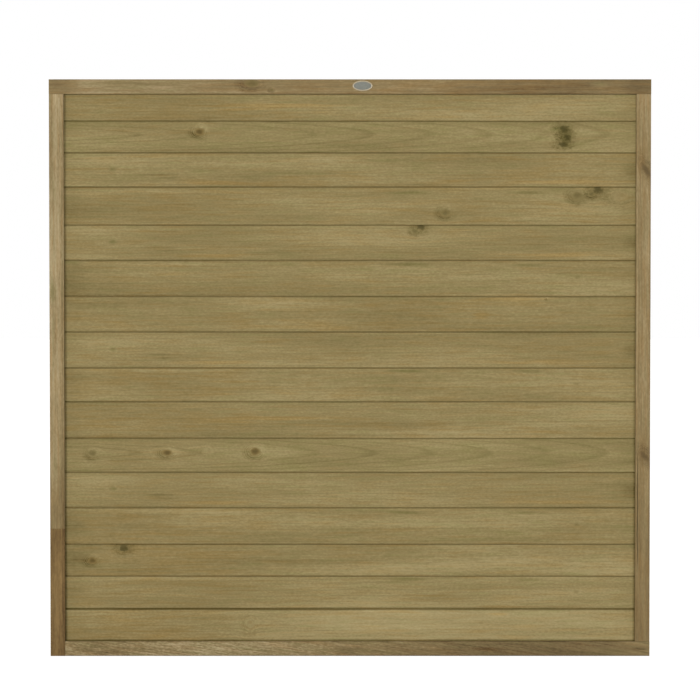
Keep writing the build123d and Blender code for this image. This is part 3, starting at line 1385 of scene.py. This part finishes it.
@dataclass(frozen=True)
class PressedMetal:
    """Aluminium sheet, pressed and left bare on its rim, with a dulled grey lacquer on its field.

    The bare rim gives a soft pale gleam, and the lacquer a flat grey with faint blotches.
    """

    title: str = "pressed_aluminium_satin"
    bare: str = "#a3967d"
    bare_dull: str = "#8c816b"
    lacquer: str = "#6f7064"
    lacquer_dull: str = "#5c5e54"
    rim_metal: float = 0.5
    roughness: float = 0.45
    roughness_spread: float = 0.15
    blotch_mm: float = 7.0
    blotch_detail: float = 3.0
    blotch_ends: tuple[float, float] = (0.2, 0.8)
    lacquer_edge: tuple[float, float] = (0.97, 1.03)
    relief_mm: float = 0.1
    relief_strength: float = 0.2

    def dress(
        self, piece: bpy.types.Object, centre: Vector, half_length: float, half_height: float,
    ) -> None:
        """Gives the plate its bare rim and lacquered field.

        Args:
            piece: The plate.
            centre: Its middle in metres.
            half_length: Half of the field's length in metres.
            half_height: Half of the field's height in metres.
        """
        material = bpy.data.materials.new(self.title)
        tree = blank_tree(material)
        place = add(tree, "TexCoord").node.outputs["Object"]
        oval = add(tree, "Mapping", {
            "Vector": place, "Location": centre, "Scale": (half_length, 1.0, half_height),
        }, vector_type="TEXTURE")
        rim = add(tree, "MapRange", {
            "Value": add(tree, "VectorMath", {0: oval}, operation="LENGTH"),
            "From Min": self.lacquer_edge[0], "From Max": self.lacquer_edge[1],
            "To Min": 0.0, "To Max": 1.0,
        }, interpolation_type="SMOOTHSTEP")
        blotch = add(tree, "TexNoise", {
            "Vector": place, "Scale": 1 / (self.blotch_mm * MM), "Detail": self.blotch_detail,
        })
        field_colour, rim_colour = (
            add(tree, "ValToRGB", {0: blotch}, stops=tuple(zip(self.blotch_ends, colours)))
            for colours in ((self.lacquer_dull, self.lacquer), (self.bare_dull, self.bare))
        )
        surface = add(tree, "BsdfPrincipled", {
            "Base Color": add(tree, "Mix", {0: rim, 6: field_colour, 7: rim_colour}, data_type="RGBA"),
            "Metallic": add(tree, "Math", {0: rim, 1: self.rim_metal}, operation="MULTIPLY"),
            "Roughness": add(tree, "MapRange", {
                "Value": blotch,
                "To Min": self.roughness - self.roughness_spread,
                "To Max": self.roughness + self.roughness_spread,
            }),
            "Normal": add(tree, "Bump", {
                "Strength": self.relief_strength, "Distance": self.relief_mm * MM, "Height": blotch,
            }),
        })
        add(tree, "OutputMaterial", {"Surface": surface})
        piece.data.materials.append(material)


@dataclass
class OvalPlate:
    """The plain oval plate on the top rail: a pressed rim round a slightly domed field. Millimetres."""

    node: str = "oval_plate"
    rim_width: float = 4.4
    rim_fall: float = 1.6
    field_depth: float = 0.7
    field_rise: float = 0.25
    field_reach: float = 0.98
    lacquer_lap: float = 0.6
    edge_radius: float = 0.5
    edge_points: int = 6
    rim_points: int = 9
    field_points: int = 12
    around: int = 128
    smooth_deg: float = 50.0

    def build(self) -> bpy.types.Object:
        """Builds the plate: an edge and rim profile carried round an ellipse, closed at front and back.

        A profile point lies at inset i from the outline and height h off the rail. Round the plate it is at
        ((a - i) cosine, -h, (b - i) sine), with a and b half of the length and height. The rim stays level
        and then falls to the field in half a wave of a cosine, and the field rises in a quarter of a sine.

        Returns:
            The plate.
        """
        low, high = (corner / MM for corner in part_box(self.node))
        centre = (low + high) / 2
        half_length, half_height = (high.x - low.x) / 2, (high.z - low.z) / 2
        thick = high.y - low.y

        # The edge's points run from its inner end to its outer one, so the edge tucks under itself
        turn = np.linspace(0, np.pi / 2, self.edge_points)
        edge_inset = self.edge_radius * (1 - np.sin(turn))
        edge_height = thick - self.edge_radius * (1 - np.cos(turn))
        share = np.linspace(0, 1, self.rim_points)
        bead_inset = self.edge_radius + (self.rim_width - self.edge_radius) * share
        fall = np.clip(self.rim_fall * share - (self.rim_fall - 1), 0, 1)
        bead_height = thick - self.field_depth * (0.5 - 0.5 * np.cos(np.pi * fall))
        dome = np.linspace(0, 1, self.field_points)
        dome_inset = self.rim_width + (half_height - self.rim_width) * dome * self.field_reach
        dome_height = thick - self.field_depth + self.field_rise * np.sin(dome * np.pi / 2)
        inset = np.concatenate([[0.0], edge_inset, bead_inset[1:], dome_inset[1:]])
        height = np.concatenate([[0.0], edge_height, bead_height[1:], dome_height[1:]])
        angle = np.linspace(0, 2 * np.pi, self.around, endpoint=False)
        points = np.stack([
            centre.x + (half_length - inset[:, None]) * np.cos(angle),
            np.broadcast_to(high.y - height[:, None], (len(inset), self.around)),
            centre.z + (half_height - inset[:, None]) * np.sin(angle),
        ], axis=-1)
        faces = tube_faces(len(inset), self.around)
        piece = place_mesh("oval_plate_pressed", points.reshape(-1, 3) * MM, faces, self.smooth_deg)
        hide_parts(self.node)
        field_length = half_length - self.rim_width + self.lacquer_lap
        field_height = half_height - self.rim_width + self.lacquer_lap
        PressedMetal().dress(piece, centre * MM, field_length * MM, field_height * MM)
        return piece


@dataclass(frozen=True)
class GalvanisedSteel:
    """Nail wire dipped in zinc: a dull blue-grey skin whose crystals show as faint flakes."""

    title: str = "galvanised_steel_dipped"
    pale: str = "#a5a8aa"
    deep: str = "#74787b"
    flake_ends: tuple[float, float] = (0.0, 0.8)
    metallic: float = 0.9
    roughness: float = 0.5
    roughness_spread: float = 0.1
    flake_mm: float = 1.2
    relief_mm: float = 0.05
    relief_strength: float = 0.2

    def dress(self, piece: bpy.types.Object) -> None:
        """Gives a piece its zinc skin."""
        material = bpy.data.materials.new(self.title)
        tree = blank_tree(material)
        place = add(tree, "TexCoord").node.outputs["Object"]
        flakes = add(tree, "TexVoronoi", {"Vector": place, "Scale": 1 / (self.flake_mm * MM)})
        stops = tuple(zip(self.flake_ends, (self.deep, self.pale)))
        surface = add(tree, "BsdfPrincipled", {
            "Base Color": add(tree, "ValToRGB", {0: flakes}, stops=stops),
            "Metallic": self.metallic,
            "Roughness": add(tree, "MapRange", {
                "Value": flakes,
                "To Min": self.roughness - self.roughness_spread,
                "To Max": self.roughness + self.roughness_spread,
            }),
            "Normal": add(tree, "Bump", {
                "Strength": self.relief_strength, "Distance": self.relief_mm * MM, "Height": flakes,
            }),
        })
        add(tree, "OutputMaterial", {"Surface": surface})
        piece.data.materials.append(material)


@dataclass
class CornerNails:
    """The wire nails that hold the corners. Sizes are in millimetres."""

    node: str = "corner_nails"
    inset: float = 16.5
    length: float = 90.0
    shank: float = 2.0
    head: float = 4.25
    head_thickness: float = 1.6
    point: float = 6.0
    tip: float = 0.05
    crown: float = 0.4
    crown_reach: float = 0.98
    crown_points: int = 5
    around: int = 24
    smooth_deg: float = 35.0

    def nail(self) -> np.ndarray:
        """One nail, head up: radius and height of each profile point, carried round the nail's axis.

        Returns:
            Profile points by places round the axis by three coordinates.
        """
        rise = np.linspace(0, 1, self.crown_points)
        radius = np.concatenate([
            [self.tip, self.shank, self.shank, self.head],
            self.head * np.cos(rise * np.pi / 2 * self.crown_reach),
        ])
        height = np.concatenate([
            [-self.length, self.point - self.length, -self.head_thickness, -self.head_thickness],
            self.crown * np.sin(rise * np.pi / 2),
        ])
        angle = np.linspace(0, 2 * np.pi, self.around, endpoint=False)
        return np.stack([
            radius[:, None] * np.cos(angle),
            radius[:, None] * np.sin(angle),
            np.broadcast_to(height[:, None], (len(radius), self.around)),
        ], axis=-1)

    def build(self) -> bpy.types.Object:
        """Builds the four nails as one piece: the nail turned to point up, down or in from the side.

        Returns:
            The nails.
        """
        low, high = (corner / MM for corner in cad_bounds)
        along, depth, height = np.moveaxis(self.nail(), -1, 0)
        inner = high.x - self.inset
        nails = (
            np.stack([along + inner, depth, height + high.z], axis=-1),
            np.stack([along - inner, depth, height + high.z], axis=-1),
            np.stack([along + inner, -depth, low.z - height], axis=-1),
            np.stack([low.x - height, depth, along + low.z + self.inset], axis=-1),
        )
        rows, columns = along.shape
        starts = range(0, len(nails) * along.size, along.size)
        faces = [face for start in starts for face in tube_faces(rows, columns, start)]
        points = np.concatenate([nail.reshape(-1, 3) for nail in nails])
        piece = place_mesh("corner_nails_driven", points * MM, faces, self.smooth_deg)
        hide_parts(self.node)
        GalvanisedSteel().dress(piece)
        return piece


@dataclass(frozen=True)
class SoftLamp:
    """A broad, distant lamp: its direction from the panel, its spread and its strength."""

    name: str
    azimuth_deg: float
    height_deg: float
    spread_deg: float
    strength: float


@dataclass
class Studio:
    """White studio: a key lamp from the left, broad lamps from every other side, and a pale floor.

    Sizes are in metres. An azimuth of 0 is in front of the panel, and a positive one to its right.
    """

    camera_place: tuple[float, float, float] = (0.0, -8.0, 1.161)
    camera_target: tuple[float, float, float] = (0.0, 0.0, 0.935)
    lens_mm: float = 134.87
    sensor_mm: float = 36.0
    lamps: tuple[SoftLamp, ...] = (
        SoftLamp("key", -35.0, 6.0, 12.0, 1.16),
        SoftLamp("front", 5.0, 4.0, 40.0, 1.60),
        SoftLamp("behind", 180.0, 6.0, 45.0, 2.2),
        SoftLamp("right", 105.0, 8.0, 40.0, 1.8),
        SoftLamp("left", -105.0, 8.0, 40.0, 1.4),
        SoftLamp("above", 180.0, 88.0, 20.0, 0.7),
    )
    lamp_distance: float = 6.0
    fill: float = 0.24
    floor_half: float = 40.0
    floor_paint: str = "#d8d8d8"
    floor_glow: float = 0.91
    floor_shade: float = 0.25

    def aim(self, thing: bpy.types.Object, place: Sequence[float], target: Sequence[float]) -> None:
        """Puts a camera or lamp at a place and turns it to a target."""
        thing.location = place
        thing.rotation_euler = (Vector(target) - Vector(place)).to_track_quat("-Z", "Y").to_euler()
        bpy.context.scene.collection.objects.link(thing)

    def white_to_camera(self, tree: bpy.types.NodeTree) -> Output:
        """1 for rays that the camera, a gloss or a glass sends, and 0 for light that falls on things."""
        path = add(tree, "LightPath").node.outputs
        seen = add(tree, "Math", {0: path["Is Camera Ray"], 1: path["Is Glossy Ray"]}, operation="MAXIMUM")
        return add(tree, "Math", {0: seen, 1: path["Is Transmission Ray"]}, operation="MAXIMUM")

    def build(self) -> None:
        """Makes the camera, lamps, world and floor."""
        scene = bpy.context.scene
        scene.view_settings.view_transform = "Standard"
        lens = bpy.data.cameras.new("camera")
        lens.lens = self.lens_mm
        lens.sensor_width = self.sensor_mm
        camera = bpy.data.objects.new("camera", lens)
        self.aim(camera, self.camera_place, self.camera_target)
        scene.camera = camera

        for lamp in self.lamps:
            light = bpy.data.lights.new(lamp.name, "SUN")
            light.energy = lamp.strength
            light.angle = math.radians(lamp.spread_deg)
            turn = math.radians(lamp.azimuth_deg)
            height = math.radians(lamp.height_deg)
            level = math.cos(height)
            way = Vector((math.sin(turn) * level, -math.cos(turn) * level, math.sin(height)))
            self.aim(bpy.data.objects.new(lamp.name, light), self.lamp_distance * way, (0.0, 0.0, 0.0))

        world = bpy.data.worlds.new("studio")
        tree = blank_tree(world)
        fill = add(tree, "Background", {"Color": linear(WHITE), "Strength": self.fill})
        white = add(tree, "Background", {"Color": linear(WHITE), "Strength": 1.0})
        shown = add(tree, "MixShader", {0: self.white_to_camera(tree), 1: fill, 2: white})
        add(tree, "OutputWorld", {"Surface": shown})
        scene.world = world
        self.floor()

    def floor(self) -> None:
        """Lays a flat pale floor under the panel, white to the camera apart from a soft shadow."""
        side = np.array([-1.0, 1.0]) * self.floor_half
        corners = np.stack(np.meshgrid(side, side), axis=-1).reshape(-1, 2)
        points = np.column_stack([corners, np.full(4, cad_bounds[0].z)])
        mesh = bpy.data.meshes.new("floor")
        mesh.from_pydata(points.tolist(), [], [[0, 1, 3, 2]])
        floor = bpy.data.objects.new("floor", mesh)
        bpy.context.scene.collection.objects.link(floor)
        material = bpy.data.materials.new("painted_studio_floor_matt")
        tree = blank_tree(material)
        seen = self.white_to_camera(tree)
        shade = self.floor_shade
        paint = add(tree, "BsdfDiffuse", {"Color": add(tree, "Mix", {
            0: seen, 6: linear(self.floor_paint), 7: (shade, shade, shade, 1.0),
        }, data_type="RGBA")})
        strength = add(tree, "Math", {0: seen, 1: self.floor_glow}, operation="MULTIPLY")
        glow = add(tree, "Emission", {"Color": linear(WHITE), "Strength": strength})
        add(tree, "OutputMaterial", {"Surface": add(tree, "AddShader", {0: paint, 1: glow})})
        mesh.materials.append(material)


def main() -> None:
    """Builds the panel's pieces and its studio, and logs each piece's number of faces."""
    logging.basicConfig(level=logging.INFO, format="%(message)s")
    pieces = [
        *BoardStack().build(),
        *PanelFrame().build(),
        OvalPlate().build(),
        CornerNails().build(),
    ]
    for piece in pieces:
        log.info("%s: %d faces", piece.name, len(piece.data.polygons))
    Studio().build()


if __name__ == "__main__":
    main()
